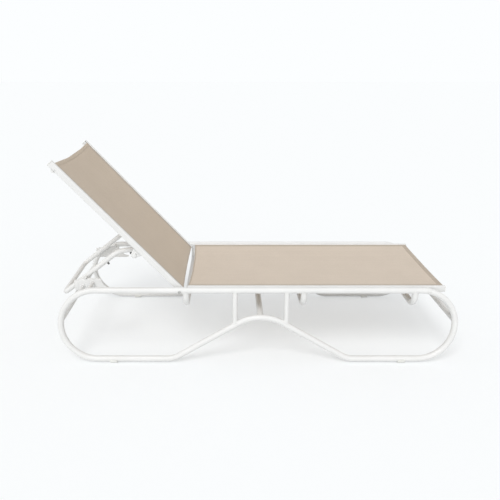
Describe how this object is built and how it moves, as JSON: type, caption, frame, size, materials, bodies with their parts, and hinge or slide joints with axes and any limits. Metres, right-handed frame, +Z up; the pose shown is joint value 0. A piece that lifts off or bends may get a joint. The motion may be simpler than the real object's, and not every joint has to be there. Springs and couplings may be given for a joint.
{
  "type": "sling chaise lounge",
  "caption": "Low sling chaise lounge on two looped tube sides with an arch in the middle, a sling seat and a reclining sling back on a bent tube prop.",
  "frame": {"origin": "on the floor, under the middle of the whole chaise's footprint, with the back at the angle of the picture", "axes": "+X towards the foot end, +Y towards the sitter's left, +Z up"},
  "size_m": [1.9634, 0.81, 0.989],
  "materials": {
    "frame_paint": "white powder coat, satin",
    "sling_fabric": "woven outdoor sling cloth, beige",
    "white_nylon": "white nylon, moulded",
    "steel": "stainless steel fasteners",
    "black_rubber": "black rubber, matte"
  },
  "bodies": {
    "frame": {"right_side_loop": "frame_paint", "left_side_loop": "frame_paint", "right_head_strut": "frame_paint", "right_foot_strut": "frame_paint", "left_head_strut": "frame_paint", "left_foot_strut": "frame_paint", "arch_cross_tube": "frame_paint", "head_cross_tube": "frame_paint", "foot_cross_tube": "frame_paint", "head_dropped_bar": "frame_paint", "middle_dropped_bar": "frame_paint", "foot_dropped_bar": "frame_paint", "right_head_glide": "white_nylon", "right_foot_glide": "white_nylon", "left_head_glide": "white_nylon", "left_foot_glide": "white_nylon", "right_seat_rail": "frame_paint", "right_seat_rail_cap": "white_nylon", "right_foot_spacer": "white_nylon", "right_seat_spacer": "white_nylon", "right_foot_bolt": "frame_paint", "right_seat_screw": "steel", "left_seat_rail": "frame_paint", "left_seat_rail_cap": "white_nylon", "left_foot_spacer": "white_nylon", "left_seat_spacer": "white_nylon", "left_foot_bolt": "frame_paint", "left_seat_screw": "steel", "seat_sling": "sling_fabric", "right_pivot_bolt": "steel", "right_pivot_nut": "steel", "right_pivot_spacer": "white_nylon", "left_pivot_bolt": "steel", "left_pivot_nut": "steel", "left_pivot_spacer": "white_nylon", "right_rack": "frame_paint", "left_rack": "frame_paint"},
    "back": {"left_back_rail": "frame_paint", "right_back_rail": "frame_paint", "left_back_rail_cap": "white_nylon", "left_pivot_bush": "white_nylon", "right_back_rail_cap": "white_nylon", "right_pivot_bush": "white_nylon", "back_sling": "sling_fabric", "upper_back_bar": "frame_paint", "left_upper_bar_screw": "frame_paint", "right_upper_bar_screw": "frame_paint", "lower_back_bar": "frame_paint", "left_lower_ear_screw": "steel", "left_upper_ear_screw": "steel", "right_lower_ear_screw": "steel", "right_upper_ear_screw": "steel"},
    "prop": {"prop": "frame_paint", "right_knuckle_bush": "white_nylon", "left_knuckle_bush": "white_nylon", "right_upper_buffer": "black_rubber", "left_upper_buffer": "black_rubber", "right_lower_buffer": "black_rubber", "left_lower_buffer": "black_rubber"}
  },
  "joints": [
    {"name": "back_recline", "type": "hinge", "parent": "frame", "child": "back", "pos_m": [-0.37115, 0, 0.36424], "axis": [0, 1, 0], "range_deg": [-42.3, 22.7]},
    {"name": "prop_fold", "type": "hinge", "parent": "back", "child": "prop", "pos_m": [-0.58512, 0, 0.53418], "axis": [0, 1, 0], "range_deg": [-39.8, 74.1]}
  ],
  "couplings": [
    {"joint": "prop_fold", "follows": "back_recline", "ratio": -1.75}
  ]
}
